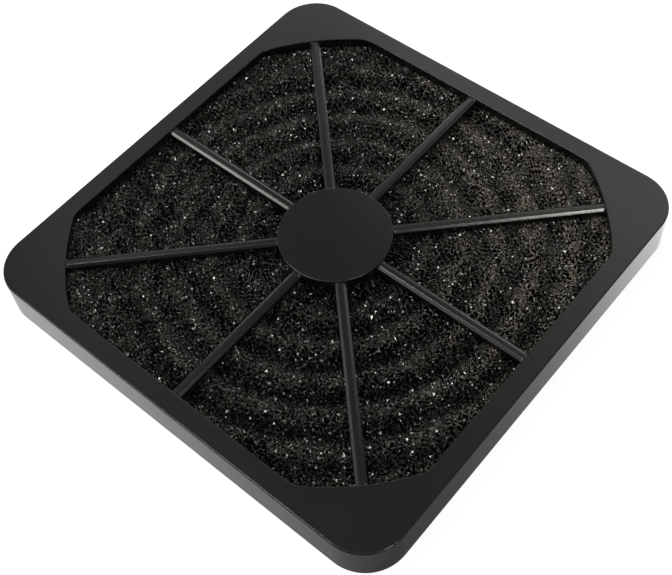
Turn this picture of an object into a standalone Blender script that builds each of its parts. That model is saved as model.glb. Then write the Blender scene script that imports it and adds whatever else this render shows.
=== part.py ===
"""A snap-together dust filter for a 120 mm axial fan.

It comes apart by hand into an outer retainer, a foam pad and an inner guard, which is screwed to the fan.
The filter lies on its fan side, at z = 0. Air flows along Z, through the origin. Lengths are in metres.
"""

import math

import bmesh
import bpy

MM = 0.001
PARTS = "fan_dust_filter"
CUTTERS = "fan_dust_filter_cutters"

# The fan that the filter fits
FAN_SIDE = 120.0 * MM
SCREW_INSET = 7.5 * MM

# Gap between pieces that touch
CLEARANCE = 0.3 * MM

# Outer retainer: face and skirt
HEIGHT = 11.0 * MM
SKIRT_WALL = 1.7 * MM
SKIRT_DRAFT = 0.15 * MM
FACE_THICKNESS = 2.3 * MM
CORNER_RADIUS = 11.2 * MM
EDGE_BREAK = 0.35 * MM

# Outer retainer: window, spokes and hub
WINDOW_BORDER = 5.15 * MM
WINDOW_TO_SCREW = 6.95 * MM
SPOKE_COUNT = 8
SPOKE_WIDTH = 2.8 * MM
SPOKE_SHOULDER = 0.75 * MM
SPOKE_DROP = 0.35 * MM
SPOKE_RECESS = 0.1 * MM
HUB_RADIUS = 14.45 * MM
HUB_EDGE_BREAK = 0.25 * MM

# Snap catches, two on each side of the skirt
CATCH_WIDTH = 10.0 * MM
CATCH_SPACING = 60.0 * MM
CATCH_REACH = 0.9 * MM
CATCH_HEIGHT = 0.8 * MM
CATCH_LEAD = 0.4 * MM
CATCH_RIM_GAP = 0.2 * MM

# Inner guard: tray that holds the foam
TRAY_FLOOR = 2.2 * MM
TRAY_WALL = 1.2 * MM
LAND_HEIGHT = 5.0 * MM
LAND_TO_SCREW = 4.95 * MM
SCREW_HOLE_RADIUS = 2.25 * MM
SCREW_HEAD_RADIUS = 4.2 * MM

# Inner guard: grille
AIRWAY_BORDER = 2.3 * MM
DISC_RADIUS = 13.4 * MM
RING_COUNT = 4
RING_WIDTH = 1.8 * MM
RING_RISE = 0.5 * MM
RING_EDGE_BREAK = 0.4 * MM
GRILLE_RECESS = 0.3 * MM
RIB_WIDTH = 2.0 * MM
RIB_DROP = 0.2 * MM

# Foam pad: its outer face ripples, with a crest over each ring of the grille
RIPPLE_DEPTH = 0.9 * MM

# How finely round shapes are cut into faces
CORNER_STEPS = 12
TURN_STEPS = 96
RING_STEPS = 64
FOAM_TURN_STEPS = 64
RIPPLE_STEPS = 6
HOLE_STEPS = 24

# How far shapes run into each other where they join, and past each other where they cut
JOIN = 1.0 * MM
OVERRUN = 5.0 * MM

# Places that follow from the sizes
GUARD_HALF = FAN_SIDE / 2
CAVITY_HALF = GUARD_HALF + CLEARANCE
RETAINER_HALF = CAVITY_HALF + SKIRT_WALL
CAVITY_RADIUS = CORNER_RADIUS - SKIRT_WALL
GUARD_RADIUS = CAVITY_RADIUS - CLEARANCE
FACE_UNDERSIDE = HEIGHT - FACE_THICKNESS
SCREW_OFFSET = FAN_SIDE / 2 - SCREW_INSET
SCREW_FROM_AXIS = SCREW_OFFSET * math.sqrt(2)
WINDOW_HALF = RETAINER_HALF - WINDOW_BORDER
WINDOW_RADIUS = SCREW_FROM_AXIS - WINDOW_TO_SCREW
TRAY_HALF = GUARD_HALF - TRAY_WALL
TRAY_RADIUS = GUARD_RADIUS - TRAY_WALL
LAND_FROM_AXIS = SCREW_FROM_AXIS - LAND_TO_SCREW
AIRWAY_RADIUS = GUARD_HALF - AIRWAY_BORDER
RING_PITCH = (AIRWAY_RADIUS - DISC_RADIUS) / (RING_COUNT + 1)
GRILLE_TOP = TRAY_FLOOR + RING_RISE
FOAM_BOTTOM = GRILLE_TOP + CLEARANCE
FOAM_TOP = FACE_UNDERSIDE - CLEARANCE
FOAM_HALF = TRAY_HALF - CLEARANCE
FOAM_CORNER = LAND_FROM_AXIS - CLEARANCE
CATCH_BOTTOM = CATCH_RIM_GAP
CATCH_TOP = CATCH_BOTTOM + CATCH_HEIGHT


def clear_scene():
    """Removes what the scene holds."""
    for obj in list(bpy.data.objects):
        bpy.data.objects.remove(obj, do_unlink=True)


def new_collection(name):
    """A collection of this name, linked to the scene."""
    collection = bpy.data.collections.new(name)
    bpy.context.scene.collection.children.link(collection)
    return collection


def plain_material(name, color, roughness):
    """A Principled material of one colour, with no metal in it."""
    material = bpy.data.materials.new(name)
    material.use_nodes = True
    shader = material.node_tree.nodes["Principled BSDF"]
    shader.inputs["Base Color"].default_value = (*color, 1.0)
    shader.inputs["Roughness"].default_value = roughness
    shader.inputs["Metallic"].default_value = 0.0
    material.diffuse_color = (*color, 1.0)
    return material


def make_part(obj, material):
    """Puts a finished piece in the parts collection, with its material and smooth round faces."""
    bpy.data.collections[PARTS].objects.link(obj)
    obj.data.materials.clear()
    obj.data.materials.append(material)
    obj.data.shade_smooth()
    obj.data.set_sharp_from_angle(angle=math.radians(30))
    return obj


def make_helper(obj):
    """Puts a shape that cuts or joins a piece in the cutters collection, drawn as wire."""
    bpy.data.collections[CUTTERS].objects.link(obj)
    obj.hide_render = True
    obj.display_type = "WIRE"
    return obj


def combine(target, operation, helper):
    """Joins a helper to the target, cuts it away or keeps only what both share."""
    if helper.name not in bpy.data.collections[CUTTERS].objects:
        make_helper(helper)
    modifier = target.modifiers.new(helper.name, "BOOLEAN")
    modifier.operation = operation
    modifier.solver = "EXACT"
    modifier.object = helper
    return target


def object_from(bm, name):
    """An object, not yet in a collection, that holds this bmesh."""
    mesh = bpy.data.meshes.new(name)
    bm.to_mesh(mesh)
    bm.free()
    return bpy.data.objects.new(name, mesh)


def rounded_square(half, radius):
    """The points of a square outline with round corners, anticlockwise."""
    points = []
    for quarter in range(4):
        turn = quarter * math.pi / 2
        centre = (half - radius) * math.sqrt(2)
        centre_angle = turn + math.pi / 4
        for step in range(CORNER_STEPS + 1):
            angle = turn + step / CORNER_STEPS * math.pi / 2
            x = centre * math.cos(centre_angle) + radius * math.cos(angle)
            y = centre * math.sin(centre_angle) + radius * math.sin(angle)
            points.append((x, y))
    return points


def prism(name, outline, bottom, top):
    """A closed solid with this outline, from a filled curve that is made a mesh."""
    curve = bpy.data.curves.new(name, "CURVE")
    curve.dimensions = "2D"
    curve.fill_mode = "BOTH"
    curve.extrude = (top - bottom) / 2
    spline = curve.splines.new("POLY")
    spline.points.add(len(outline) - 1)
    spline.use_cyclic_u = True
    for point, (x, y) in zip(spline.points, outline):
        point.co = (x, y, 0, 1)
    guide = bpy.data.objects.new(name + "_outline", curve)
    guide.location.z = (top + bottom) / 2
    bpy.context.scene.collection.objects.link(guide)
    bpy.context.view_layer.update()
    evaluated = guide.evaluated_get(bpy.context.evaluated_depsgraph_get())
    bm = bmesh.new()
    mesh = bpy.data.meshes.new_from_object(evaluated)
    bm.from_mesh(mesh)
    bm.transform(guide.matrix_world)
    bmesh.ops.remove_doubles(bm, verts=bm.verts, dist=0.001 * MM)
    bmesh.ops.dissolve_limit(bm, angle_limit=math.radians(1), verts=bm.verts, edges=bm.edges)
    bmesh.ops.recalc_face_normals(bm, faces=bm.faces)
    bpy.data.objects.remove(guide)
    bpy.data.meshes.remove(mesh)
    return object_from(bm, name)


def block(name, size_x, size_y, bottom, top, turn=0.0):
    """A box centred on the Z axis and turned about it."""
    bm = bmesh.new()
    bmesh.ops.create_cube(bm, size=1)
    bmesh.ops.scale(bm, verts=bm.verts, vec=(size_x, size_y, top - bottom))
    bmesh.ops.translate(bm, verts=bm.verts, vec=(0, 0, (top + bottom) / 2))
    obj = object_from(bm, name)
    obj.rotation_euler.z = turn
    return obj


def cylinder(name, radius, bottom, top, steps, edge_break=0.0):
    """An upright cylinder on the Z axis, with its top edge chamfered if asked."""
    bm = bmesh.new()
    bmesh.ops.create_cone(
        bm, cap_ends=True, segments=steps, radius1=radius, radius2=radius, depth=top - bottom
    )
    bmesh.ops.translate(bm, verts=bm.verts, vec=(0, 0, (top + bottom) / 2))
    if edge_break:
        bevel_edges(bm, top, edge_break, 1)
    return object_from(bm, name)


def bevel_edges(bm, level, width, segments, along_x=False):
    """Bevels the edges that lie at this height, or only those of them that run along X."""
    edges = []
    for edge in bm.edges:
        start, end = (vert.co for vert in edge.verts)
        if max(abs(start.z - level), abs(end.z - level)) > 0.01 * MM:
            continue
        if along_x and abs(start.y - end.y) > 0.01 * MM:
            continue
        edges.append(edge)
    bmesh.ops.bevel(
        bm, geom=edges, offset=width, segments=segments, profile=0.5, affect="EDGES", clamp_overlap=True
    )


def spoke_bar(name, half_length, width, bottom, top, shoulder, turn):
    """A straight bar across the axis, with rounded shoulders along its top."""
    obj = block(name, 2 * half_length, width, bottom, top, turn)
    bm = bmesh.new()
    bm.from_mesh(obj.data)
    bevel_edges(bm, top, shoulder, 3, along_x=True)
    bm.to_mesh(obj.data)
    bm.free()
    return obj


def turned(name, profile, steps, closed):
    """A profile of (radius, height) points, turned about the Z axis with a Screw modifier."""
    mesh = bpy.data.meshes.new(name)
    edges = [(index, index + 1) for index in range(len(profile) - 1)]
    if closed:
        edges.append((len(profile) - 1, 0))
    mesh.from_pydata([(radius, 0, height) for radius, height in profile], edges, [])
    obj = bpy.data.objects.new(name, mesh)
    screw = obj.modifiers.new("turn", "SCREW")
    screw.axis = "Z"
    screw.angle = math.tau
    screw.steps = steps
    screw.render_steps = steps
    screw.use_merge_vertices = True
    screw.merge_threshold = 0.001 * MM
    screw.use_smooth_shade = True
    return obj


def window_reach(angle):
    """How far the window's edge lies from the axis, in this direction."""
    flat_side = WINDOW_HALF / max(abs(math.cos(angle)), abs(math.sin(angle)))
    return min(flat_side, WINDOW_RADIUS)


def retainer_shell():
    """The block that face and skirt are cut from: round corners, a little draft and a broken top edge."""
    shell = prism("outer_retainer", rounded_square(RETAINER_HALF, CORNER_RADIUS), 0, HEIGHT)
    bm = bmesh.new()
    bm.from_mesh(shell.data)
    top_scale = (RETAINER_HALF - SKIRT_DRAFT) / RETAINER_HALF
    for vert in bm.verts:
        if vert.co.z > HEIGHT / 2:
            vert.co.x *= top_scale
            vert.co.y *= top_scale
    bevel_edges(bm, HEIGHT, EDGE_BREAK, 2)
    bm.to_mesh(shell.data)
    bm.free()
    return shell


def snap_catch(name, turn, shift):
    """A wedge on the inside of the skirt. Its lower inner edge slopes, so that the skirt springs over."""
    root = SKIRT_WALL / 2
    bm = bmesh.new()
    bmesh.ops.create_cube(bm, size=1)
    bmesh.ops.scale(bm, verts=bm.verts, vec=(CATCH_REACH + root, CATCH_WIDTH, CATCH_HEIGHT))
    inner_x = -(CATCH_REACH + root) / 2
    lead = [
        edge
        for edge in bm.edges
        if all(vert.co.x < inner_x / 2 and vert.co.z < 0 for vert in edge.verts)
    ]
    bmesh.ops.bevel(bm, geom=lead, offset=CATCH_LEAD, segments=1, affect="EDGES", clamp_overlap=True)
    obj = object_from(bm, name)
    x = CAVITY_HALF + root + inner_x
    obj.location = (
        x * math.cos(turn) - shift * math.sin(turn),
        x * math.sin(turn) + shift * math.cos(turn),
        (CATCH_BOTTOM + CATCH_TOP) / 2,
    )
    obj.rotation_euler.z = turn
    return obj


def catch_notch(name, turn, shift):
    """The recess under the guard's edge that one catch springs into."""
    depth = CATCH_REACH
    bottom = -OVERRUN
    top = CATCH_TOP + CLEARANCE
    bm = bmesh.new()
    bmesh.ops.create_cube(bm, size=1)
    size = (depth + OVERRUN, CATCH_WIDTH + 2 * CLEARANCE, top - bottom)
    bmesh.ops.scale(bm, verts=bm.verts, vec=size)
    obj = object_from(bm, name)
    x = GUARD_HALF - depth + size[0] / 2
    obj.location = (
        x * math.cos(turn) - shift * math.sin(turn),
        x * math.sin(turn) + shift * math.cos(turn),
        (top + bottom) / 2,
    )
    obj.rotation_euler.z = turn
    return obj


def catch_places():
    """Each catch's turn about the axis and its shift along the side."""
    for side in range(4):
        for end in (-1, 1):
            yield side * math.pi / 2, end * CATCH_SPACING / 2


def screw_places():
    """The four screw holes, on the fan's own hole square."""
    for x_sign in (-1, 1):
        for y_sign in (-1, 1):
            yield x_sign * SCREW_OFFSET, y_sign * SCREW_OFFSET


def build_outer_retainer(material):
    """The snap-on cover: face, skirt, eight spokes and hub in one moulding."""
    retainer = retainer_shell()
    cavity = prism(
        "retainer_cavity", rounded_square(CAVITY_HALF, CAVITY_RADIUS), -OVERRUN, FACE_UNDERSIDE
    )
    combine(retainer, "DIFFERENCE", cavity)

    window_bottom = FACE_UNDERSIDE - OVERRUN
    window_top = HEIGHT + OVERRUN
    window = block("retainer_window", 2 * WINDOW_HALF, 2 * WINDOW_HALF, window_bottom, window_top)
    window_round = cylinder(
        "retainer_window_round", WINDOW_RADIUS, window_bottom - JOIN, window_top + JOIN, TURN_STEPS
    )
    combine(window, "INTERSECT", window_round)
    combine(retainer, "DIFFERENCE", window)

    hub = cylinder("retainer_hub", HUB_RADIUS, FACE_UNDERSIDE, HEIGHT, TURN_STEPS, HUB_EDGE_BREAK)
    combine(retainer, "UNION", hub)
    bar_bottom = FACE_UNDERSIDE + SPOKE_RECESS
    bar_top = HEIGHT - SPOKE_DROP
    for index in range(SPOKE_COUNT // 2):
        turn = index * math.tau / SPOKE_COUNT
        half_length = window_reach(turn) + JOIN
        bar = spoke_bar(
            f"retainer_bar_{index}", half_length, SPOKE_WIDTH, bar_bottom, bar_top, SPOKE_SHOULDER, turn
        )
        combine(retainer, "UNION", bar)

    for index, (turn, shift) in enumerate(catch_places()):
        combine(retainer, "UNION", snap_catch(f"retainer_catch_{index}", turn, shift))
    return make_part(retainer, material)


def ring_profile(radius):
    """The section of one ring of the grille: flat below, with its two upper edges broken."""
    outer = radius + RING_WIDTH / 2
    inner = radius - RING_WIDTH / 2
    return [
        (outer - RING_EDGE_BREAK, GRILLE_TOP),
        (outer, GRILLE_TOP - RING_EDGE_BREAK),
        (outer, GRILLE_RECESS),
        (inner, GRILLE_RECESS),
        (inner, GRILLE_TOP - RING_EDGE_BREAK),
        (inner + RING_EDGE_BREAK, GRILLE_TOP),
    ]


def build_inner_guard(material):
    """The fan-side tray: corner lands with the screw holes, and a grille of rings on radial ribs."""
    guard = prism("inner_guard", rounded_square(GUARD_HALF, GUARD_RADIUS), 0, FOAM_TOP)
    tray = prism(
        "guard_tray", rounded_square(TRAY_HALF, TRAY_RADIUS), TRAY_FLOOR, FOAM_TOP + OVERRUN
    )
    combine(guard, "DIFFERENCE", tray)

    lands = prism(
        "guard_lands",
        rounded_square(TRAY_HALF + TRAY_WALL / 2, TRAY_RADIUS + TRAY_WALL / 2),
        TRAY_FLOOR / 2,
        LAND_HEIGHT,
    )
    between_lands = block(
        "guard_between_lands",
        2 * LAND_FROM_AXIS,
        2 * LAND_FROM_AXIS,
        -OVERRUN,
        LAND_HEIGHT + OVERRUN,
        math.pi / 4,
    )
    combine(lands, "DIFFERENCE", between_lands)
    combine(guard, "UNION", lands)

    airway = cylinder("guard_airway", AIRWAY_RADIUS, -OVERRUN, TRAY_FLOOR + OVERRUN, TURN_STEPS)
    combine(guard, "DIFFERENCE", airway)

    disc = cylinder(
        "guard_disc", DISC_RADIUS, GRILLE_RECESS, GRILLE_TOP, RING_STEPS, RING_EDGE_BREAK
    )
    combine(guard, "UNION", disc)
    for index in range(SPOKE_COUNT // 2):
        bar = block(
            f"guard_bar_{index}",
            2 * (AIRWAY_RADIUS + JOIN),
            RIB_WIDTH,
            GRILLE_RECESS + RIB_DROP,
            TRAY_FLOOR - RIB_DROP,
            index * math.tau / SPOKE_COUNT,
        )
        combine(guard, "UNION", bar)
    for index in range(RING_COUNT):
        profile = ring_profile(DISC_RADIUS + (index + 1) * RING_PITCH)
        combine(guard, "UNION", turned(f"guard_ring_{index}", profile, RING_STEPS, closed=True))

    for index, (x, y) in enumerate(screw_places()):
        hole = cylinder(f"guard_hole_{index}", SCREW_HOLE_RADIUS, -OVERRUN, HEIGHT, HOLE_STEPS)
        recess = cylinder(f"guard_head_{index}", SCREW_HEAD_RADIUS, TRAY_FLOOR, HEIGHT, HOLE_STEPS)
        for cutter in (recess, hole):
            cutter.location = (x, y, 0)
            combine(guard, "DIFFERENCE", cutter)
    for index, (turn, shift) in enumerate(catch_places()):
        combine(guard, "DIFFERENCE", catch_notch(f"guard_notch_{index}", turn, shift))
    return make_part(guard, material)


def ripple(radius):
    """How far the foam's outer face dips below its crests, this far from the axis."""
    if not DISC_RADIUS < radius < AIRWAY_RADIUS:
        return 0.0
    phase = (radius - DISC_RADIUS) / RING_PITCH * math.tau
    return RIPPLE_DEPTH * (1 - math.cos(phase)) / 2


def build_filter_foam(material):
    """The foam pad: a square with cut corners, which the grille presses into rings of crest and valley."""
    thickness = FOAM_TOP - FOAM_BOTTOM
    reach = FOAM_CORNER * math.sqrt(2)
    crests = RING_COUNT + 1
    profile = [(0, thickness)]
    for step in range(crests * RIPPLE_STEPS + 1):
        radius = DISC_RADIUS + step * RING_PITCH / RIPPLE_STEPS
        profile.append((radius, thickness - ripple(radius)))
    profile += [(reach, thickness), (reach, 0), (0, 0)]
    foam = turned("filter_foam", profile, FOAM_TURN_STEPS, closed=False)
    foam.location.z = FOAM_BOTTOM

    outline = block("foam_square", 2 * FOAM_HALF, 2 * FOAM_HALF, 0, HEIGHT)
    corners = block(
        "foam_corners", 2 * FOAM_CORNER, 2 * FOAM_CORNER, -OVERRUN, HEIGHT + OVERRUN, math.pi / 4
    )
    combine(outline, "INTERSECT", corners)
    combine(foam, "INTERSECT", outline)
    return make_part(foam, material)


def main():
    clear_scene()
    new_collection(PARTS)
    new_collection(CUTTERS)
    moulded_black = plain_material("moulded_black_outer", (0.022, 0.022, 0.021), 0.42)
    guard_black = plain_material("moulded_black_inner", (0.020, 0.020, 0.020), 0.45)
    foam_black = plain_material("foam_black", (0.012, 0.012, 0.012), 0.85)
    pieces = [
        build_outer_retainer(moulded_black),
        build_inner_guard(guard_black),
        build_filter_foam(foam_black),
    ]
    axis = bpy.data.objects.new("airflow_axis", None)
    bpy.data.collections[PARTS].objects.link(axis)
    for piece in pieces:
        piece.parent = axis


main()
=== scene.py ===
import math

import bmesh
import bpy
import numpy as np
from mathutils import Euler, Matrix, Vector


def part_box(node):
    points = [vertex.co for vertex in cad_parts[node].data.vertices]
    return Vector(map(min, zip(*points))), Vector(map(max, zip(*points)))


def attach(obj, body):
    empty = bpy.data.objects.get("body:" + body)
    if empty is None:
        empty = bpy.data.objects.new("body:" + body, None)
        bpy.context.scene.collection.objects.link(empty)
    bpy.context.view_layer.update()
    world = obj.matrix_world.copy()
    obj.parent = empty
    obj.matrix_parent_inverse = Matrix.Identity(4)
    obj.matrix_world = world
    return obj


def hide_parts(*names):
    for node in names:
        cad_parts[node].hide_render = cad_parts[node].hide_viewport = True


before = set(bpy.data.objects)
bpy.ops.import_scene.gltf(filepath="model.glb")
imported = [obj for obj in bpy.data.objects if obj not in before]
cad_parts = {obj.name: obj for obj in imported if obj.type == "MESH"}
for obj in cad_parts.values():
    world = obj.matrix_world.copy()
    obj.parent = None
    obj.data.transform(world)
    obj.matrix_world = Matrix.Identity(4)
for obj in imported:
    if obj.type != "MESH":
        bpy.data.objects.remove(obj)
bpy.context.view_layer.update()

bl_info = {
    "name": "Fan dust filter",
    "version": (1, 0, 0),
    "blender": (4, 5, 0),
    "location": "View3D > Sidebar > Fan filter",
    "description": "Builds a snap-together fan dust filter: spoked retainer, foam and ringed guard",
    "category": "Add Mesh",
}

MM = 0.001
BODY = "root"
_, RETAINER_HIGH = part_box("outer_retainer")
_, GUARD_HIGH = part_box("inner_guard")
FOAM_LOW, FOAM_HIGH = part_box("filter_foam")

# How finely round shapes are cut into faces
CORNER_STEPS = 24
WINDOW_STEPS = 384
TURN_STEPS = 192
EDGE_STEPS = 4
RIM_STEPS = 2
FILLET_STEPS = 4
PAD_STEPS = 128
PAD_RINGS = 61

# Small sizes of the retainer
RIM_RADIUS = 0.2 * MM
CLEARANCE = 0.3 * MM
SPOKE_EDGE_BREAK = 0.12 * MM
SPOKE_FILLET = 0.5 * MM
SPOKE_INTO_FACE = 0.8 * MM
SPOKE_INTO_HUB = 2 * MM
SPOKE_LIFT = 0.1 * MM

# How far a cutter passes the surface that it cuts
OVERRUN = 3 * MM
CAVITY_OVERRUN = 5 * MM

# The foam pad under the strands, and the block that cuts its outline
PAD_LIFT = 0.3 * MM
PAD_REACH = 100 * MM
PAD_CUTTER_HEIGHT = 20 * MM

# The net of strands: seed of its random numbers and turn of its lattice
SEED = 7
TILT = Euler((0.6, 0.35, 0.2))
# Slow waves that bend the lattice, and the jitter of each node, in cubes of cells
SWAY_WAVES = 9
SWAY_LENGTH = 7
SWAY_REACH = 0.2
JITTER = 0.15
# Least and greatest width of a strand and size of a knot, as shares of the set ones
STRAND_RANGE = (0.7, 1.4)
KNOT_RANGE = (0.6, 1.3)
# From a knot's centre to just past its corners, as a share of its size
KNOT_REACH = 0.62
# What the surface leaves of a strand at the least, as a share of its length
SHORTEST_SHARE = 0.15
# Shares of strands and knots that are shaded flat
FACETED_STRANDS = 0.33
FACETED_KNOTS = 0.8
# Any direction that few strands follow
ASKEW = (0.31, 0.52, 0.79)
# How far strands run on under face and hub, and below the depth that is seen
HIDDEN_MARGIN = 0.9 * MM
DEPTH_MARGIN = 0.1 * MM

# Sectors between the spokes, which are also the pieces of the net
SECTORS = 8

# The studio, in metres. The floor's cards fade across the ramp's span.
FLOOR_SIZE = 6.0
FLOOR_GAP = 0.0001
RAMP_SPAN = 0.14
LAMP_DISTANCE = 1.0

BLACK = (0, 0, 0)
WHITE = (1, 1, 1, 1)


def length_property(name, description, default):
    """A size in metres."""
    return bpy.props.FloatProperty(
        name=name, description=description, default=default, min=0.0, unit="LENGTH", precision=5
    )


def colour_property(name, description, default):
    """A linear colour."""
    return bpy.props.FloatVectorProperty(
        name=name, description=description, default=default, size=3, min=0.0, max=1.0, subtype="COLOR"
    )


class MouldingSettings(bpy.types.PropertyGroup):
    """Sizes and finish of the two black mouldings."""

    face_thickness: length_property("Face thickness", "Depth of the retainer's face", 2.3 * MM)
    skirt_draft: length_property("Skirt draft", "Lean of each side from rim to face", 0.15 * MM)
    corner_radius: length_property("Corner radius", "Outer corners of the retainer", 11.2 * MM)
    edge_radius: length_property("Edge radius", "Rounding of the face's outer edge", 0.35 * MM)
    window_border: length_property("Window border", "Face beside the window, mid-side", 5.15 * MM)
    window_radius: length_property("Window radius", "Circle that cuts the corners", 67.3 * MM)
    window_edge: length_property("Window edge", "Rounding of the window's edge", 0.2 * MM)
    spoke_width: length_property("Spoke width", "Width of one spoke", 2.8 * MM)
    spoke_slope: length_property("Spoke slope", "Width of the slope along a spoke's edge", 0.78 * MM)
    spoke_fall: length_property("Spoke fall", "Fall of that slope", 0.5 * MM)
    spoke_drop: length_property("Spoke drop", "How far the spokes lie under the face", 0.35 * MM)
    hub_radius: length_property("Hub radius", "Radius of the flat hub disc", 14.45 * MM)
    hub_edge: length_property("Hub edge", "Rounding of the hub's edge", 0.25 * MM)
    colour: colour_property("Plastic", "Base colour of the plastic", (0.0055, 0.0055, 0.0052))
    roughness: bpy.props.FloatProperty(
        name="Roughness", description="Roughness of the plastic", default=0.22, min=0.0, max=1.0
    )


class FoamSettings(bpy.types.PropertyGroup):
    """Cells and ripples of the open-cell foam."""

    cell: length_property("Cell", "Size of one cell", 1.1 * MM)
    strand: length_property("Strand", "Width of a strand between two cells", 0.27 * MM)
    knot: length_property("Knot", "Size of the knot where strands meet", 0.6 * MM)
    relief: length_property("Relief", "Depth of the strands above the dark inside", 0.8 * MM)
    ripple_depth: length_property("Ripple depth", "Crest to valley", 1.9 * MM)
    disc_radius: length_property("Disc radius", "Where the ripples start", 13.4 * MM)
    press_depth: length_property("Press depth", "How far the hub presses the pad in", 1.2 * MM)
    press_reach: length_property("Press reach", "Where the pressed part ends", 28.0 * MM)
    airway_radius: length_property("Airway radius", "Where the ripples end", 57.7 * MM)
    ripple_count: bpy.props.IntProperty(
        name="Ripples", description="Ripples between disc and airway", default=5, min=1
    )
    # Painted light on the strands, full where X and Y together reach this
    painted_light_reach: length_property("Painted light reach", "X and Y together where the painted light is full", 75.0 * MM)
    corner_reach: length_property("Corner reach", "Axis to the cut across each corner", 69.0 * MM)
    colour: colour_property("Foam", "Base colour of the strands", (0.0193, 0.0178, 0.015))
    # The inside is painted near black, a painted shade of the deep cells
    inside_shade_colour: colour_property("Foam inside", "Base colour of the dark inside", (0.002, 0.002, 0.002))


class StudioSettings(bpy.types.PropertyGroup):
    """The camera's view."""

    azimuth: bpy.props.FloatProperty(
        name="Azimuth", description="Direction of view", default=math.radians(45.43), subtype="ANGLE"
    )
    elevation: bpy.props.FloatProperty(
        name="Elevation", description="Height of view", default=math.radians(56.51), subtype="ANGLE"
    )
    roll: bpy.props.FloatProperty(
        name="Roll", description="Turn about the view", default=math.radians(-6.368), subtype="ANGLE"
    )
    distance: length_property("Distance", "Camera to target", 283.0 * MM)
    lens: bpy.props.FloatProperty(
        name="Lens", description="Focal length", default=60.2, unit="CAMERA"
    )
    target: bpy.props.FloatVectorProperty(
        name="Target", description="Point looked at", default=(5.309 * MM, -7.011 * MM, 0.0),
        size=3, unit="LENGTH", precision=5
    )


def rounded_square(half, radius):
    """Points of a square outline with round corners, anticlockwise."""
    points = []
    for quarter in range(4):
        middle = quarter * math.pi / 2 + math.pi / 4
        centre = (half - radius) * math.sqrt(2)
        for step in range(CORNER_STEPS + 1):
            angle = quarter * math.pi / 2 + step / CORNER_STEPS * math.pi / 2
            x = centre * math.cos(middle) + radius * math.cos(angle)
            y = centre * math.sin(middle) + radius * math.sin(angle)
            points.append((x, y))
    return points


def circle(radius, steps=TURN_STEPS):
    """Points of a circle, anticlockwise."""
    angles = [index / steps * math.tau for index in range(steps)]
    return [(radius * math.cos(angle), radius * math.sin(angle)) for angle in angles]


def window_reach(half, radius, angle):
    """Distance from the axis to the window's edge: a square cut by a circle, its corners eased."""
    sharpness = 200
    flat_side = half / max(abs(math.cos(angle)), abs(math.sin(angle)))
    nearer = min(flat_side, radius)
    farther = max(flat_side, radius)
    return nearer * (1 + (nearer / farther) ** sharpness) ** (-1 / sharpness)


def window_outline(half, radius):
    """Points of the window's edge, anticlockwise."""
    points = []
    for index in range(WINDOW_STEPS):
        angle = index / WINDOW_STEPS * math.tau
        reach = window_reach(half, radius, angle)
        points.append((reach * math.cos(angle), reach * math.sin(angle)))
    return points


def round_edge(radius, steps=EDGE_STEPS):
    """(inset, fall) of each step round a quarter circle, from the side to the top."""
    pairs = []
    for step in range(steps + 1):
        angle = step / steps * math.pi / 2
        pairs.append((radius * (1 - math.cos(angle)), radius * (1 - math.sin(angle))))
    return pairs


def place_mesh(mesh):
    """Puts a mesh in the scene as an object of the same name."""
    obj = bpy.data.objects.new(mesh.name, mesh)
    bpy.context.scene.collection.objects.link(obj)
    return obj


def place_solid(name, bm):
    """Turns the faces of a closed shape outwards and puts it in the scene."""
    bmesh.ops.recalc_face_normals(bm, faces=bm.faces)
    mesh = bpy.data.meshes.new(name)
    bm.to_mesh(mesh)
    bm.free()
    return place_mesh(mesh)


def loft(name, rings):
    """A closed solid through stacked rings of (points, height), each with as many points."""
    bm = bmesh.new()
    loops = [[bm.verts.new((x, y, height)) for x, y in points] for points, height in rings]
    for lower, upper in zip(loops, loops[1:]):
        for index in range(len(lower)):
            after = (index + 1) % len(lower)
            bm.faces.new((lower[index], lower[after], upper[after], upper[index]))
    bm.faces.new(list(reversed(loops[0])))
    bm.faces.new(loops[-1])
    return place_solid(name, bm)


def combine(target, operation, helper):
    """Joins a helper to the target or cuts it away, then removes the helper."""
    modifier = target.modifiers.new("combine", "BOOLEAN")
    modifier.operation = operation
    modifier.solver = "EXACT"
    modifier.object = helper
    bpy.context.view_layer.update()
    evaluated = target.evaluated_get(bpy.context.evaluated_depsgraph_get())
    mesh = bpy.data.meshes.new_from_object(evaluated)
    target.modifiers.clear()
    old = target.data
    target.data = mesh
    bpy.data.meshes.remove(old)
    bpy.data.objects.remove(helper)


def smooth(obj, degrees=40.0):
    """Shades round faces smooth beside flat ones: edges are sharp by angle, normals weighted by area."""
    obj.data.shade_smooth()
    obj.data.set_sharp_from_angle(angle=math.radians(degrees))
    weighted = obj.modifiers.new("weighted_normals", "WEIGHTED_NORMAL")
    weighted.mode = "FACE_AREA"
    weighted.weight = 80
    weighted.keep_sharp = True


def eased(corner, before, after, cut):
    """Three points that round a corner of an outline, this far along either side."""
    towards = [(Vector(side) - Vector(corner)).normalized() * cut for side in (before, after)]
    corner = Vector(corner)
    return [corner + towards[0], corner + (towards[0] + towards[1]) / 4, corner + towards[1]]


def spoke_section(width, bottom, top, slope, fall):
    """The outline of a spoke across its length: flat below and on top, with sloped shoulders."""
    half = width / 2
    corners = [
        (-half, bottom), (-half, top - fall), (-half + slope, top),
        (half - slope, top), (half, top - fall), (half, bottom)
    ]
    section = [corners[0]]
    for before, corner, after in zip(corners, corners[1:], corners[2:]):
        section += [tuple(point) for point in eased(corner, before, after, SPOKE_EDGE_BREAK)]
    section.append(corners[-1])
    return section


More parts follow.
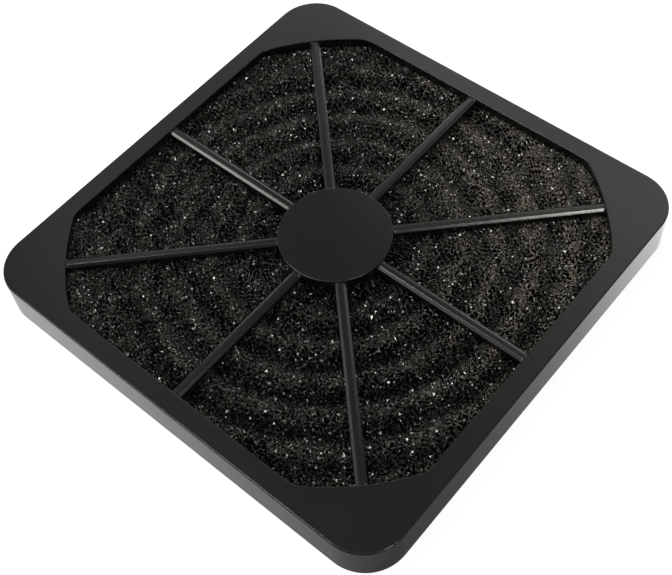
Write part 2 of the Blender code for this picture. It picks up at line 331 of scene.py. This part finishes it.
def spoke(name, window_edge, sizes, bottom, top, turn):
    """One spoke from inside the hub into the face, with a small fillet at each root."""
    clear_start = sizes.hub_radius
    clear_end = window_edge
    stations = [clear_start - SPOKE_INTO_HUB]
    for step in range(FILLET_STEPS + 1):
        stations.append(clear_start + SPOKE_FILLET * step / FILLET_STEPS)
    for step in range(FILLET_STEPS + 1):
        stations.append(clear_end - SPOKE_FILLET * (1 - step / FILLET_STEPS))
    stations.append(clear_end + SPOKE_INTO_FACE)
    bm = bmesh.new()
    loops = []
    for along in stations:
        gap = min(max(along - clear_start, 0), max(clear_end - along, 0), SPOKE_FILLET)
        flare = SPOKE_FILLET - math.sqrt(SPOKE_FILLET**2 - (SPOKE_FILLET - gap) ** 2)
        section = spoke_section(
            sizes.spoke_width + 2 * flare, bottom, top, sizes.spoke_slope, sizes.spoke_fall
        )
        loops.append([bm.verts.new((along, y, z)) for y, z in section])
    for first, second in zip(loops, loops[1:]):
        for index in range(len(first)):
            after = (index + 1) % len(first)
            bm.faces.new((first[index], first[after], second[after], second[index]))
    bm.faces.new(loops[0])
    bm.faces.new(loops[-1])
    bmesh.ops.rotate(bm, verts=bm.verts, cent=(0, 0, 0), matrix=Matrix.Rotation(turn, 3, "Z"))
    return place_solid(name, bm)


class Field:
    """A number that varies over a surface. Arithmetic on it adds Math nodes."""

    def __init__(self, tree, socket):
        self.tree = tree
        self.socket = socket

    def maths(self, operation, *terms):
        """A Math node with this operation on fields and numbers, as a field."""
        node = self.tree.nodes.new("ShaderNodeMath")
        node.operation = operation
        for place, term in enumerate(terms):
            if isinstance(term, Field):
                self.tree.links.new(term.socket, node.inputs[place])
            else:
                node.inputs[place].default_value = term
        return Field(self.tree, node.outputs[0])

    def __add__(self, other):
        return self.maths("ADD", self, other)

    def __radd__(self, other):
        return self.maths("ADD", other, self)

    def __sub__(self, other):
        return self.maths("SUBTRACT", self, other)

    def __rsub__(self, other):
        return self.maths("SUBTRACT", other, self)

    def __mul__(self, other):
        return self.maths("MULTIPLY", self, other)

    def __rmul__(self, other):
        return self.maths("MULTIPLY", other, self)

    def __truediv__(self, other):
        return self.maths("DIVIDE", self, other)

    def __rtruediv__(self, other):
        return self.maths("DIVIDE", other, self)

    def __pow__(self, other):
        return self.maths("POWER", self, other)

    def __rpow__(self, other):
        return self.maths("POWER", other, self)

    def clamp(self, low, high):
        """The field kept between two numbers."""
        return self.maths("MINIMUM", self.maths("MAXIMUM", self, low), high)


class Finish:
    """A material or world whose node tree is written as expressions."""

    def __init__(self, owner):
        self.owner = owner
        owner.use_nodes = True
        self.tree = owner.node_tree
        self.tree.nodes.clear()

    def node(self, kind, settings=None, inputs=None):
        """Adds a node of this type, with its settings and then its sockets' values or links."""
        node = self.tree.nodes.new(kind)
        for name, value in (settings or {}).items():
            setattr(node, name, value)
        for name, value in (inputs or {}).items():
            socket = node.inputs[name]
            if isinstance(value, Field):
                self.tree.links.new(value.socket, socket)
            elif isinstance(value, bpy.types.NodeSocket):
                self.tree.links.new(value, socket)
            else:
                socket.default_value = value
        return node

    def field(self, kind, settings=None, inputs=None, output=0):
        """The output of a new node as a field."""
        return Field(self.tree, self.node(kind, settings, inputs).outputs[output])

    def place(self):
        """The point on the surface in the object's own space, in metres."""
        return self.node("ShaderNodeTexCoord").outputs["Object"]

    def axes(self):
        """The same point as three fields: X, Y and Z."""
        parts = self.node("ShaderNodeSeparateXYZ", None, {"Vector": self.place()})
        return [Field(self.tree, output) for output in parts.outputs]

    def noise(self, scale, detail=2.0, roughness=0.5):
        """Soft noise from 0 to 1. The scale is in waves a metre."""
        inputs = {"Vector": self.place(), "Scale": scale, "Detail": detail, "Roughness": roughness}
        return self.field("ShaderNodeTexNoise", None, inputs)

    def tint(self, factor, first, second):
        """A colour between two, by a field from 0 to 1. Either colour may be a socket."""
        ends = []
        for end in (first, second):
            ends.append(end if isinstance(end, bpy.types.NodeSocket) else (*end, 1.0))
        inputs = {0: factor, 6: ends[0], 7: ends[1]}
        return self.node("ShaderNodeMix", {"data_type": "RGBA"}, inputs).outputs[2]

    def bump(self, height, strength, distance):
        """Normals that follow a height field."""
        inputs = {"Strength": strength, "Distance": distance, "Height": height}
        return self.node("ShaderNodeBump", None, inputs).outputs["Normal"]

    def surface(self, inputs, shaded=None):
        """Ends the tree in a Principled shader with these sockets. The field mixes it towards black, a
        painted shade.
        """
        surface = self.node("ShaderNodeBsdfPrincipled", None, inputs).outputs[0]
        if shaded is not None:
            dull = {"Base Color": (*BLACK, 1), "Roughness": 0.9, "Specular IOR Level": 0.0}
            black = self.node("ShaderNodeBsdfPrincipled", None, dull).outputs[0]
            surface = self.node("ShaderNodeMixShader", None, {0: shaded, 1: surface, 2: black}).outputs[0]
        self.node("ShaderNodeOutputMaterial", None, {"Surface": surface})
        return self.owner


def plastic_finish(name, sizes):
    """Satin black moulded plastic with a fine eroded grain and slight unevenness."""
    finish = Finish(bpy.data.materials.new(name))
    grain = finish.noise(9000.0, 2.0, 0.6)
    cloud = finish.noise(45.0, 3.0)
    fine = finish.noise(2500.0, 1.0)
    dark = tuple(channel * 0.85 for channel in sizes.colour)
    light = tuple(channel * 1.15 for channel in sizes.colour)
    return finish.surface(
        {
            "Base Color": finish.tint(cloud, dark, light),
            "Roughness": (sizes.roughness - 0.05) + fine * 0.06 + cloud * 0.05,
            "Specular IOR Level": 0.5,
            "Specular Tint": (1.0, 0.98, 0.925, 1.0),
            "Normal": finish.bump(grain, 0.25, 0.00003),
        }
    )


def strand_finish(name, foam):
    """The foam's strands: sooty black, warmer and cooler by turns, lighter and shinier in places, with
    painted light and shade over the pad.
    """
    finish = Finish(bpy.data.materials.new(name))
    speck = finish.noise(1500.0, 1.0)
    patch = finish.noise(700.0, 2.0)
    broad = finish.noise(250.0, 2.0)
    x, y, _ = finish.axes()
    # Painted light and shade: the strands are lighter towards the corner where X and Y are largest, as if
    # lit more there, and a painted shade darkens them where only X is large
    painted_light_and_shade = 0.9 + 3.2 * ((x + y) / (0.8 * foam.painted_light_reach) - 0.25).clamp(0.0, 1.0)
    painted_light_and_shade = painted_light_and_shade - 0.2 * ((x - y) / foam.painted_light_reach).clamp(0.0, 1.0)
    # Painted shade in the valleys of the ripples and painted light on their crests, most of all where X
    # is large
    away = (x * x + y * y) ** 0.5
    phase = (away - foam.disc_radius) * (math.tau / ripple_pitch(foam))
    wave = phase.maths("COSINE", phase)
    shade = 0.95 + wave * (0.25 + 0.3 * (x / (40.0 * MM) + 0.5).clamp(0.0, 1.0))
    # Painted shadow of the hub: the part that the hub presses in is darker too
    pressed = (away - foam.disc_radius) / (foam.press_reach - foam.disc_radius)
    shade = shade * pressed.clamp(0.25, 1.0)
    # Painted shadow: towards the corner of large X and small Y the valleys lie in the shadow of the
    # crests, as a mix towards black
    shadow = ((x - y) / (40.0 * MM) - 0.3).clamp(0.0, 1.0) * (1.0 - wave) * 0.25
    level = painted_light_and_shade * shade * (0.2 + 2.4 * ((speck - 0.44) * 5.0).clamp(0.0, 1.0))
    # The lightest place is ten times the foam's colour
    lightest = 10.0
    warm = [lightest * channel * shift for channel, shift in zip(foam.colour, (1.25, 1.15, 0.75))]
    cool = [lightest * channel * shift for channel, shift in zip(foam.colour, (0.8, 0.85, 1.2))]
    return finish.surface(
        {
            "Base Color": finish.tint(level / lightest, BLACK, finish.tint(broad, cool, warm)),
            "Roughness": 0.14 + patch * 0.22,
            "Specular IOR Level": 1.0,
            "Specular Tint": (1.0, 0.97, 0.91, 1.0),
            "IOR": 1.55,
        },
        shadow
    )


def core_finish(name, foam):
    """The dark inside of the foam, painted near black as the shade deep among the cells. Its fan side
    shows webs between the cells.
    """
    finish = Finish(bpy.data.materials.new(name))
    edge = finish.field(
        "ShaderNodeTexVoronoi", {"feature": "DISTANCE_TO_EDGE"},
        {"Vector": finish.place(), "Scale": 0.8 / foam.cell, "Randomness": 1.0}
    )
    speck = finish.noise(900.0, 1.0)
    height = finish.axes()[2]
    under = ((FOAM_LOW[2] + 0.8 * MM - height) / (0.2 * MM)).clamp(0.0, 1.0)
    webs = ((0.16 - edge) * 10.0).clamp(0.0, 1.0) * (0.3 + speck) * under
    light = tuple(2.0 * channel for channel in foam.colour)
    return finish.surface(
        {
            "Base Color": finish.tint(webs.clamp(0.0, 1.0), foam.inside_shade_colour, light),
            "Roughness": 0.9,
            "Specular IOR Level": 0.0,
            "Normal": finish.bump((0.3 - edge).clamp(0.0, 0.3), 0.8, 0.0006),
        }
    )


def finish_piece(piece, material, slot, *nodes):
    """Gives a piece its material and puts it on the body in place of its CAD nodes."""
    piece.data.materials.clear()
    piece.data.materials.append(material)
    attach(piece, BODY)
    if nodes:
        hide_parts(*nodes)


def ripple_pitch(foam):
    """Distance from one crest to the next."""
    return (foam.airway_radius - foam.disc_radius) / foam.ripple_count


def ripple_dip(foam, radius):
    """How far the foam dips below its crests at each of these distances from the axis."""
    waves = np.clip((radius - foam.disc_radius) / ripple_pitch(foam), 0, foam.ripple_count)
    phase = waves * math.tau
    press = (foam.press_reach - radius) / (foam.press_reach - foam.disc_radius)
    return foam.ripple_depth * (1 - np.cos(phase)) / 2 + foam.press_depth * np.clip(press, 0, 1)


class FANFILTER_OT_retainer(bpy.types.Operator):
    """Builds the outer retainer: face, skirt, spokes and hub in one moulding"""

    bl_idname = "fanfilter.retainer"
    bl_label = "Outer retainer"

    def execute(self, context):
        sizes = context.scene.fanfilter_moulding
        half = RETAINER_HIGH[0]
        height = RETAINER_HIGH[2]
        underside = height - sizes.face_thickness
        window_half = half - sizes.window_border
        retainer = self.shell(sizes, half, height)
        combine(retainer, "DIFFERENCE", self.cavity(sizes, half, underside))
        combine(retainer, "DIFFERENCE", self.window(sizes, window_half, underside, height))
        combine(retainer, "UNION", self.hub(sizes, underside, height))
        spoke_bottom = underside + SPOKE_LIFT
        spoke_top = height - sizes.spoke_drop
        for index in range(SECTORS):
            turn = index * math.tau / SECTORS
            window_edge = window_reach(window_half, sizes.window_radius, turn)
            bar = spoke(f"spoke_{index}", window_edge, sizes, spoke_bottom, spoke_top, turn)
            combine(retainer, "UNION", bar)
        smooth(retainer)
        material = plastic_finish("satin_black_plastic", sizes)
        finish_piece(retainer, material, "moulded_black_outer", "outer_retainer")
        return {"FINISHED"}

    def shell(self, sizes, half, height):
        """The block that face and skirt are cut from, its sides leaning in a little."""
        rings = []
        for inset, fall in reversed(round_edge(RIM_RADIUS, RIM_STEPS)):
            rings.append((rounded_square(half - inset, sizes.corner_radius - inset), fall))
        for inset, fall in round_edge(sizes.edge_radius):
            lean = sizes.skirt_draft + inset
            rings.append((rounded_square(half - lean, sizes.corner_radius - lean), height - fall))
        return loft("outer_retainer_moulding", rings)

    def cavity(self, sizes, half, underside):
        """The room inside the skirt, which takes guard and foam."""
        cavity_half = GUARD_HIGH[0] + CLEARANCE
        cavity_radius = sizes.corner_radius - (half - cavity_half)
        outline = rounded_square(cavity_half, cavity_radius)
        return loft("cavity", [(outline, -CAVITY_OVERRUN), (outline, underside)])

    def window(self, sizes, window_half, underside, height):
        """The opening in the face, wider at the top by the rounding of its edge."""
        outline = window_outline(window_half, sizes.window_radius)
        rings = [(outline, underside - OVERRUN)]
        for grow, fall in round_edge(sizes.window_edge):
            outline = window_outline(window_half + grow, sizes.window_radius + grow)
            rings.append((outline, height - fall))
        rings.append((outline, height + OVERRUN))
        return loft("window", rings)

    def hub(self, sizes, underside, height):
        """The flat disc in the middle."""
        rings = [(circle(sizes.hub_radius), underside)]
        for inset, fall in round_edge(sizes.hub_edge):
            rings.append((circle(sizes.hub_radius - inset), height - fall))
        return loft("hub", rings)


class FANFILTER_OT_guard(bpy.types.Operator):
    """Gives the inner guard its finish"""

    bl_idname = "fanfilter.guard"
    bl_label = "Inner guard"

    def execute(self, context):
        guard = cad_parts["inner_guard"]
        material = plastic_finish("satin_black_guard", context.scene.fanfilter_moulding)
        guard.data.materials.clear()
        guard.data.materials.append(material)
        return {"FINISHED"}


def cell_repeat():
    """The twelve nodes of one cube of a foam of equal fourteen-sided cells, and its strands.

    Places are in quarters of the cube. A strand is (node, neighbour's cube, neighbour).
    """
    nodes = []
    for axis in range(3):
        for quarter in (1, 3):
            for half_axis in ((axis + 1) % 3, (axis + 2) % 3):
                node = [0, 0, 0]
                node[axis] = quarter
                node[half_axis] = 2
                nodes.append(node)
    nodes = np.array(nodes)
    strands = []
    for offset in np.ndindex(3, 3, 3):
        cube = np.array(offset) - 1
        for first, place in enumerate(nodes):
            for second, other in enumerate(nodes):
                step = other + 4 * cube - place
                if step @ step == 2 and tuple(step) > (0, 0, 0):
                    strands.append((first, *cube, second))
    return nodes, np.array(strands)


def foam_network(cell, reach, depth, generator):
    """Nodes and strands of irregular open-cell foam in a slab about z = 0."""
    cube = cell * 2 ** (1 / 3)
    count = int(reach * math.sqrt(2) / cube) + 2
    steps = np.arange(-count, count + 1)
    cubes = np.stack(np.meshgrid(steps, steps, steps, indexing="ij"), axis=-1).reshape(-1, 3)
    turn = np.array(TILT.to_matrix())
    centres = (cubes + 0.5) @ turn.T * cube
    near = (np.abs(centres[:, :2]) < reach + cube).all(axis=1)
    near &= np.abs(centres[:, 2]) < depth / 2 + cube
    cubes = cubes[near]

    nodes, strands = cell_repeat()
    starts = 4 * cubes[:, None] + nodes[strands[:, 0]]
    ends = 4 * (cubes[:, None] + strands[:, 1:4]) + nodes[strands[:, 4]]
    places = np.stack([starts, ends], axis=2).reshape(-1, 3)
    base = 8 * count + 16
    keys = (places[:, 0] + base) * 2 * base + places[:, 1] + base
    keys = keys * 2 * base + places[:, 2] + base
    # Strands that meet share one node
    _, first, index = np.unique(keys, return_index=True, return_inverse=True)
    points = places[first] @ turn.T * cube / 4
    # Slow waves break up the rows of equal cells, and a jitter makes each cell its own
    sway = np.zeros_like(points)
    for _ in range(SWAY_WAVES):
        run = generator.normal(size=3) * math.tau / (SWAY_LENGTH * cube)
        push = generator.normal(size=3) * SWAY_REACH * cube
        sway += np.sin(points @ run + generator.uniform(0, math.tau))[:, None] * push
    points += sway + generator.uniform(-1, 1, points.shape) * JITTER * cube
    return points, index.reshape(-1, 2)


def strand_corners(starts, ends, widths, spin):
    """Corners of four-faced slivers, each with a blade at either end, crossed."""
    along = ends - starts
    along /= np.maximum(np.linalg.norm(along, axis=1, keepdims=True), 1e-9)
    side = np.cross(along, ASKEW)
    side /= np.maximum(np.linalg.norm(side, axis=1, keepdims=True), 1e-9)
    other = np.cross(along, side)
    turned = side * np.cos(spin)[:, None] + other * np.sin(spin)[:, None]
    crossed = np.cross(along, turned)
    turned *= (widths / 2)[:, None]
    crossed *= (widths / 2)[:, None]
    return np.stack((starts + turned, starts - turned, ends + crossed, ends - crossed), axis=1)


def knot_corners(centres, sizes, generator):
    """Corners of small tetrahedra, each turned its own way."""
    tall = math.sqrt(0.5)
    plain = np.array([(1, 0, -tall), (-1, 0, -tall), (0, 1, tall), (0, -1, tall)]) / 2
    w, x, y, z = np.moveaxis(generator.normal(size=(len(centres), 4)), 1, 0)
    length = np.sqrt(w * w + x * x + y * y + z * z)
    w, x, y, z = w / length, x / length, y / length, z / length
    turn = np.array([
        [1 - 2 * (y * y + z * z), 2 * (x * y - w * z), 2 * (x * z + w * y)],
        [2 * (x * y + w * z), 1 - 2 * (x * x + z * z), 2 * (y * z - w * x)],
        [2 * (x * z - w * y), 2 * (y * z + w * x), 1 - 2 * (x * x + y * y)],
    ])
    turned = np.einsum("ijn,kj->nki", turn, plain)
    return centres[:, None] + turned * sizes[:, None, None]


def tetra_mesh(name, corners, faceted):
    """A mesh of closed four-faced bits. The faceted ones are shaded flat, the rest smooth."""
    verts = corners.reshape(-1, 3)
    base = 4 * np.arange(len(corners))[:, None, None]
    faces = (base + np.array([(0, 1, 2), (1, 0, 3), (2, 3, 0), (3, 2, 1)])).reshape(-1, 3)
    mesh = bpy.data.meshes.new(name)
    mesh.vertices.add(len(verts))
    mesh.vertices.foreach_set("co", verts.astype(np.float32).ravel())
    mesh.loops.add(faces.size)
    mesh.loops.foreach_set("vertex_index", faces.astype(np.int32).ravel())
    mesh.polygons.add(len(faces))
    mesh.polygons.foreach_set("loop_start", np.arange(0, faces.size, 3, dtype=np.int32))
    mesh.update(calc_edges=True)
    mesh.polygons.foreach_set("use_smooth", np.repeat(~faceted, 4))
    return place_mesh(mesh)


class FANFILTER_OT_foam(bpy.types.Operator):
    """Builds the foam pad: a dark rippled core under a net of strands"""

    bl_idname = "fanfilter.foam"
    bl_label = "Filter foam"

    def execute(self, context):
        foam = context.scene.fanfilter_foam
        half = FOAM_HIGH[0]
        top = FOAM_HIGH[2]
        core = self.core(foam, half, FOAM_LOW[2] + PAD_LIFT, top - foam.relief)
        finish_piece(core, core_finish("foam_core", foam), "foam_black", "filter_foam")

        bits, faceted = self.net(foam, context.scene.fanfilter_moulding, half, top)
        material = strand_finish("foam_strands", foam)
        centre = bits.mean(axis=1)
        sector = np.arctan2(centre[:, 1], centre[:, 0]) % math.tau // (math.tau / SECTORS)
        for part in range(SECTORS):
            here = sector == part
            piece = tetra_mesh(f"foam_strands_{part + 1}", bits[here], faceted[here])
            finish_piece(piece, material, "foam_black")
        return {"FINISHED"}

    def net(self, foam, moulding, half, top):
        """Corners of the strands and knots at the pad's outer face, and which are faceted."""
        generator = np.random.default_rng(SEED)
        depth = foam.relief + foam.ripple_depth + foam.press_depth
        points, links = foam_network(foam.cell, half, depth, generator)
        points[:, 2] += top - depth / 2
        surface = top - ripple_dip(foam, np.hypot(points[:, 0], points[:, 1]))
        rise = points[:, 2] - surface
        low, high = self.visible(foam, moulding, points, rise, links)

        # A strand that passes through the surface ends there
        starts = points[low]
        share = np.clip(-rise[low] / (rise[high] - rise[low]), SHORTEST_SHARE, 1.0)
        ends = starts + (points[high] - starts) * share[:, None]
        widths = foam.strand * generator.uniform(*STRAND_RANGE, len(starts))
        ends[:, 2] = np.minimum(ends[:, 2], top - widths / 2)
        starts[:, 2] = np.minimum(starts[:, 2], top - widths / 2)
        spin = generator.uniform(0, math.tau, len(starts))
        strands = strand_corners(starts, ends, widths, spin)

        met = np.unique(np.concatenate([low, high]))
        met = met[rise[met] < 0]
        centres = points[met]
        sizes = foam.knot * generator.uniform(*KNOT_RANGE, len(centres))
        centres[:, 2] = np.minimum(centres[:, 2], top - sizes * KNOT_REACH)
        knots = knot_corners(centres, sizes, generator)

        faceted_strands = generator.random(len(strands)) < FACETED_STRANDS
        faceted_knots = generator.random(len(knots)) < FACETED_KNOTS
        return np.concatenate([strands, knots]), np.concatenate([faceted_strands, faceted_knots])

    def visible(self, foam, moulding, points, rise, links):
        """Lower and upper ends of the strands that start under the surface and can be seen."""
        low = np.where(rise[links[:, 0]] < rise[links[:, 1]], links[:, 0], links[:, 1])
        high = links.sum(axis=1) - low
        keep = (rise[low] < 0) & (rise[high] > -foam.relief - DEPTH_MARGIN)
        middle = (points[low] + points[high]) / 2
        limit = RETAINER_HIGH[0] - moulding.window_border + HIDDEN_MARGIN
        keep &= (np.abs(middle[:, :2]) < limit).all(axis=1)
        away = np.hypot(middle[:, 0], middle[:, 1])
        keep &= away < moulding.window_radius + HIDDEN_MARGIN
        keep &= away > moulding.hub_radius - 2 * HIDDEN_MARGIN
        return low[keep], high[keep]

    def core(self, foam, half, bottom, top):
        """The rippled pad below the strands."""
        radii = np.append(np.linspace(foam.disc_radius, foam.airway_radius, PAD_RINGS), PAD_REACH)
        heights = top - ripple_dip(foam, radii)
        bm = bmesh.new()
        middle = bm.verts.new((0, 0, top))
        loops = []
        for radius, height in zip(radii, heights):
            loops.append([bm.verts.new((x, y, height)) for x, y in circle(radius, PAD_STEPS)])
        lower = [bm.verts.new((x, y, bottom)) for x, y in circle(PAD_REACH, PAD_STEPS)]
        for index in range(PAD_STEPS):
            after = (index + 1) % PAD_STEPS
            bm.faces.new((middle, loops[0][index], loops[0][after]))
            for inner, outer in zip(loops, loops[1:]):
                bm.faces.new((inner[index], outer[index], outer[after], inner[after]))
            bm.faces.new((loops[-1][index], lower[index], lower[after], loops[-1][after]))
        bm.faces.new(list(reversed(lower)))
        core = place_solid("filter_foam_core", bm)

        # A square with its corners cut off straight
        cut = foam.corner_reach * math.sqrt(2) - half
        outline = []
        for x_sign, y_sign in ((1, 1), (-1, 1), (-1, -1), (1, -1)):
            ends = [(x_sign * half, y_sign * cut), (x_sign * cut, y_sign * half)]
            outline += ends if x_sign == y_sign else ends[::-1]
        combine(core, "INTERSECT", loft("pad", [(outline, 0), (outline, PAD_CUTTER_HEIGHT)]))
        smooth(core)
        return core


# Softboxes: name, azimuth and elevation in degrees, side in metres, power in watts
LAMPS = (
    ("key", 222, 40, 0.25, 2.0),
    ("key_side", 246, 47, 0.24, 0.25),
    ("high_left", 208, 68, 0.15, 3.0),
    ("fill", 353, 58, 0.15, 3.1),
    ("top", 265, 78, 0.3, 0.6),
    ("right", 50, 38, 0.24, 0.12),
    ("back_right", 100, 46, 0.24, 0.26),
    ("back_high", 120, 46, 0.24, 0.17),
    ("back", 122, 34, 0.24, 0.4),
    ("back_left", 141, 36, 0.24, 0.18),
    ("back_far_left", 157, 50, 0.24, 0.13),
    ("high_back", 112, 66, 0.24, 0.04),
    ("high_right", 98, 57, 0.24, 0.11),
    ("low_right", 80, 22, 0.24, 0.26),
    ("low_left", 197, 22, 0.24, 0.28),
    ("rim_1", 100, 8, 0.24, 0.75),
    ("rim_2", 120, 8, 0.24, 0.58),
    ("rim_3", 141, 8, 0.24, 0.75),
    ("rim_4", 161, 8, 0.24, 0.45),
    ("rim_5", 181, 14, 0.24, 0.12),
)


class FANFILTER_OT_stage(bpy.types.Operator):
    """Sets up the camera, the floor and the soft studio light"""

    bl_idname = "fanfilter.stage"
    bl_label = "Studio"

    def execute(self, context):
        self.camera(context)
        self.floor()
        self.world(context)
        for lamp in LAMPS:
            self.softbox(*lamp)
        context.scene.view_settings.view_transform = "Standard"
        return {"FINISHED"}

    def camera(self, context):
        """A camera turned about the line of sight as in the view."""
        studio = context.scene.fanfilter_studio
        azimuth, elevation = studio.azimuth, studio.elevation
        forward = Vector((
            -math.sin(azimuth) * math.cos(elevation),
            math.cos(azimuth) * math.cos(elevation),
            -math.sin(elevation),
        ))
        level = Vector((math.cos(azimuth), math.sin(azimuth), 0))
        upright = level.cross(forward)
        right = math.cos(studio.roll) * level + math.sin(studio.roll) * upright
        up = -math.sin(studio.roll) * level + math.cos(studio.roll) * upright
        turn = Matrix((right, up, -forward)).transposed()
        data = bpy.data.cameras.new("camera")
        data.lens = studio.lens
        data.sensor_width = 36.0
        data.clip_start = 0.01
        data.clip_end = 20.0
        camera = bpy.data.objects.new("camera", data)
        camera.matrix_world = turn.to_4x4()
        camera.location = Vector(studio.target) - studio.distance * forward
        context.scene.collection.objects.link(camera)
        context.scene.camera = camera

    def floor(self):
        """A pale floor, white to the eye, in which glossy faces see brighter cards left and right."""
        bpy.ops.mesh.primitive_plane_add(size=FLOOR_SIZE, location=(0, 0, -FLOOR_GAP))
        floor = bpy.context.object
        floor.name = "floor"
        finish = Finish(bpy.data.materials.new("pale_floor"))
        x, y, _ = finish.axes()
        right = self.ramp(x)
        far = self.ramp(y)
        cards = 2.4 * right * far**3.0 + 1.15 * (1 - right) * (1 - far) + 0.25 * (1 - right) * far
        path = finish.node("ShaderNodeLightPath")
        seen = Field(finish.tree, path.outputs["Is Camera Ray"])
        glossy = Field(finish.tree, path.outputs["Is Glossy Ray"])
        brightest = 3.0
        brightness = (0.85 * seen + glossy * cards) / brightest
        colour = finish.tint(brightness, BLACK, (brightest, brightest, brightest))
        glow = finish.node("ShaderNodeEmission", None, {"Color": colour, "Strength": 1.0}).outputs[0]
        pale = finish.node("ShaderNodeBsdfDiffuse", None, {"Color": (0.3, 0.3, 0.3, 1.0)}).outputs[0]
        both = finish.node("ShaderNodeAddShader", None, {0: pale, 1: glow}).outputs[0]
        finish.node("ShaderNodeOutputMaterial", None, {"Surface": both})
        floor.data.materials.append(finish.owner)

    def ramp(self, place):
        """Rises from 0 to 1 across the filter along one axis."""
        return (place / RAMP_SPAN + 0.5).clamp(0.0, 1.0)

    def world(self, context):
        """Soft light all round, seen as white behind the floor."""
        finish = Finish(bpy.data.worlds.new("studio"))
        context.scene.world = finish.owner
        seen = finish.node("ShaderNodeLightPath").outputs["Is Camera Ray"]
        soft = finish.node("ShaderNodeBackground", None, {"Color": WHITE, "Strength": 0.1}).outputs[0]
        white = finish.node("ShaderNodeBackground", None, {"Color": WHITE, "Strength": 1.0}).outputs[0]
        both = finish.node("ShaderNodeMixShader", None, {0: seen, 1: soft, 2: white}).outputs[0]
        finish.node("ShaderNodeOutputWorld", None, {"Surface": both})

    def softbox(self, name, azimuth, elevation, size, power):
        """A softbox that faces the filter from this direction."""
        data = bpy.data.lights.new(name, "AREA")
        data.shape = "RECTANGLE"
        data.size = size
        data.size_y = size
        data.energy = power
        lamp = bpy.data.objects.new(name, data)
        lamp.visible_camera = False
        azimuth, elevation = math.radians(azimuth), math.radians(elevation)
        level = math.cos(elevation)
        towards = Vector((level * math.cos(azimuth), level * math.sin(azimuth), math.sin(elevation)))
        lamp.location = towards * LAMP_DISTANCE
        lamp.rotation_euler = (-towards).to_track_quat("-Z", "Y").to_euler()
        bpy.context.scene.collection.objects.link(lamp)


class FANFILTER_PT_panel(bpy.types.Panel):
    """Lists the studio and the filter's pieces in the sidebar"""

    bl_label = "Fan dust filter"
    bl_idname = "FANFILTER_PT_panel"
    bl_space_type = "VIEW_3D"
    bl_region_type = "UI"
    bl_category = "Fan filter"

    def draw(self, context):
        for operator in OPERATORS:
            self.layout.operator(operator.bl_idname)


OPERATORS = (
    FANFILTER_OT_stage,
    FANFILTER_OT_retainer,
    FANFILTER_OT_guard,
    FANFILTER_OT_foam,
)
CLASSES = (MouldingSettings, FoamSettings, StudioSettings, *OPERATORS, FANFILTER_PT_panel)


def register():
    for cls in CLASSES:
        bpy.utils.register_class(cls)
    scene = bpy.types.Scene
    scene.fanfilter_moulding = bpy.props.PointerProperty(type=MouldingSettings)
    scene.fanfilter_foam = bpy.props.PointerProperty(type=FoamSettings)
    scene.fanfilter_studio = bpy.props.PointerProperty(type=StudioSettings)


def unregister():
    scene = bpy.types.Scene
    del scene.fanfilter_studio
    del scene.fanfilter_foam
    del scene.fanfilter_moulding
    for cls in reversed(CLASSES):
        bpy.utils.unregister_class(cls)


def main():
    register()
    bpy.ops.fanfilter.stage()
    bpy.ops.fanfilter.retainer()
    bpy.ops.fanfilter.guard()
    bpy.ops.fanfilter.foam()


if __name__ == "__main__":
    main()
